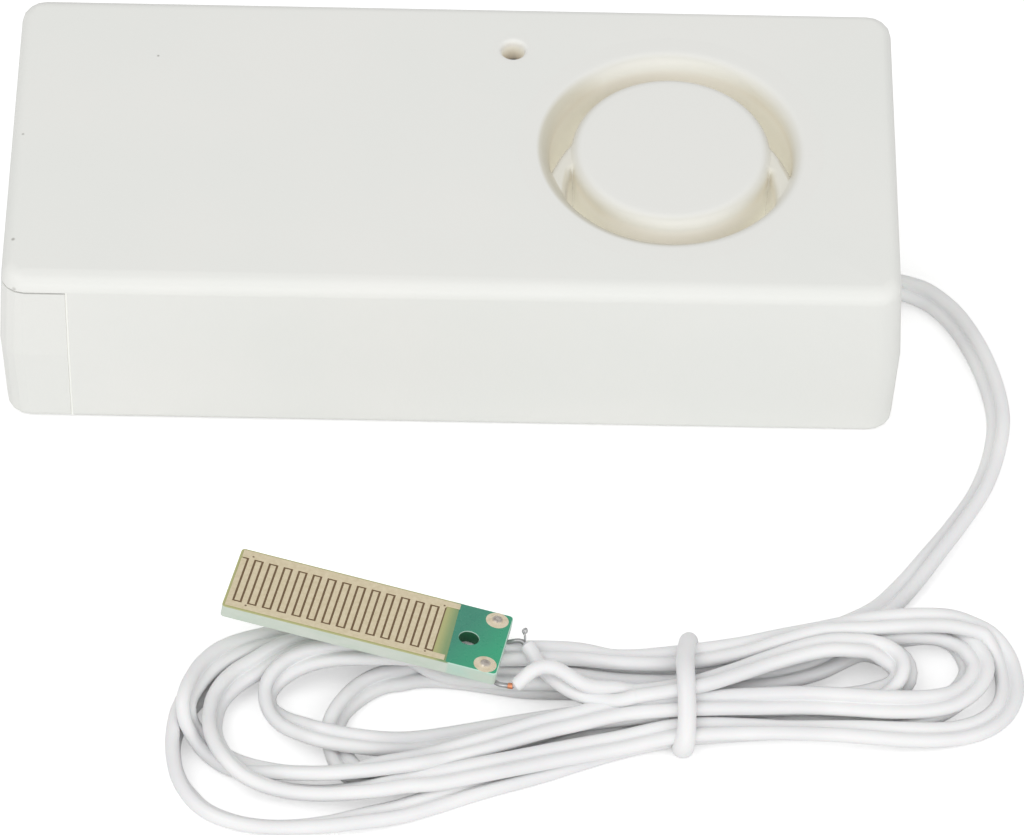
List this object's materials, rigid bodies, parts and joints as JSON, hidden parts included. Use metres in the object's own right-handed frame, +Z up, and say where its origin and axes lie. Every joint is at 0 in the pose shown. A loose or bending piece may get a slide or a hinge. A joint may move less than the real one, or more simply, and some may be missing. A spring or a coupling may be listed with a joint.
{
  "type": "water leak sensor",
  "caption": "Battery water leak alarm: a white box with a ring-shaped sound outlet, a tied hank of flat twin cord, and a comb-patterned probe board.",
  "frame": {"origin": "centre of the housing's underside, on the surface it stands on", "axes": "+X along the housing from the battery door to the cord exit, +Z up, -Y the side where the tied cord and the probe lie"},
  "size_m": [0.1268, 0.1143, 0.0254],
  "materials": {
    "white_plastic": "fine satin moulding",
    "plated_steel": "bright plating",
    "battery_jacket": "printed jacket left plain",
    "black_vinyl": "soft vinyl",
    "red_vinyl": "soft vinyl",
    "white_vinyl": "soft vinyl, slightly glossy",
    "green_laminate": "glass laminate under green solder mask",
    "black_epoxy": "moulded",
    "ferrite": "sintered",
    "copper": "enamelled wire",
    "tinned_copper": "tinned strands",
    "brass": "rolled sheet",
    "capacitor_sleeve": "shrink sleeve",
    "resistor_body": "lacquered",
    "red_lens": "clear red epoxy",
    "comb_foil": "gold-coloured plated copper foil",
    "solder": "tin solder"
  },
  "bodies": {
    "housing": {"top_shell": "white_plastic", "base_cover": "white_plastic", "piezo_retainer": "white_plastic", "cover_screw_1": "plated_steel", "cover_screw_2": "plated_steel", "cover_screw_3": "plated_steel", "cover_screw_4": "plated_steel", "board_screw_1": "plated_steel", "board_screw_2": "plated_steel", "battery_terminal_positive": "plated_steel", "battery_terminal_negative": "plated_steel", "nine_volt_battery": "battery_jacket", "snap_connector": "black_vinyl", "battery_lead_black": "black_vinyl", "sounder_lead_black": "black_vinyl", "battery_lead_red": "red_vinyl", "sounder_lead_red": "red_vinyl", "cord_tail": "white_vinyl", "cord_stop": "white_vinyl", "cord_core_far": "white_vinyl", "cord_core_near": "white_vinyl", "sensor_cord": "white_vinyl", "cord_hank": "white_vinyl", "hank_tie": "white_vinyl", "probe_wire_far": "white_vinyl", "probe_wire_near": "white_vinyl", "circuit_board": "green_laminate", "probe_board": "green_laminate", "control_chip": "black_epoxy", "transistor": "black_epoxy", "coil_core": "ferrite", "coil_winding": "copper", "bare_wire_far": "tinned_copper", "bare_wire_near": "tinned_copper", "piezo_disc": "brass", "capacitor": "capacitor_sleeve", "resistor_1": "resistor_body", "resistor_2": "resistor_body", "resistor_3": "resistor_body", "status_lamp": "red_lens", "comb_far": "comb_foil", "comb_near": "comb_foil", "solder_pad_far": "solder", "solder_pad_near": "solder"},
    "door": {"battery_door": "white_plastic"}
  },
  "joints": [
    {"name": "battery_door_slide", "type": "slide", "parent": "housing", "child": "door", "axis": [-1, 0, 0], "range_m": [0, 0.0084]}
  ]
}
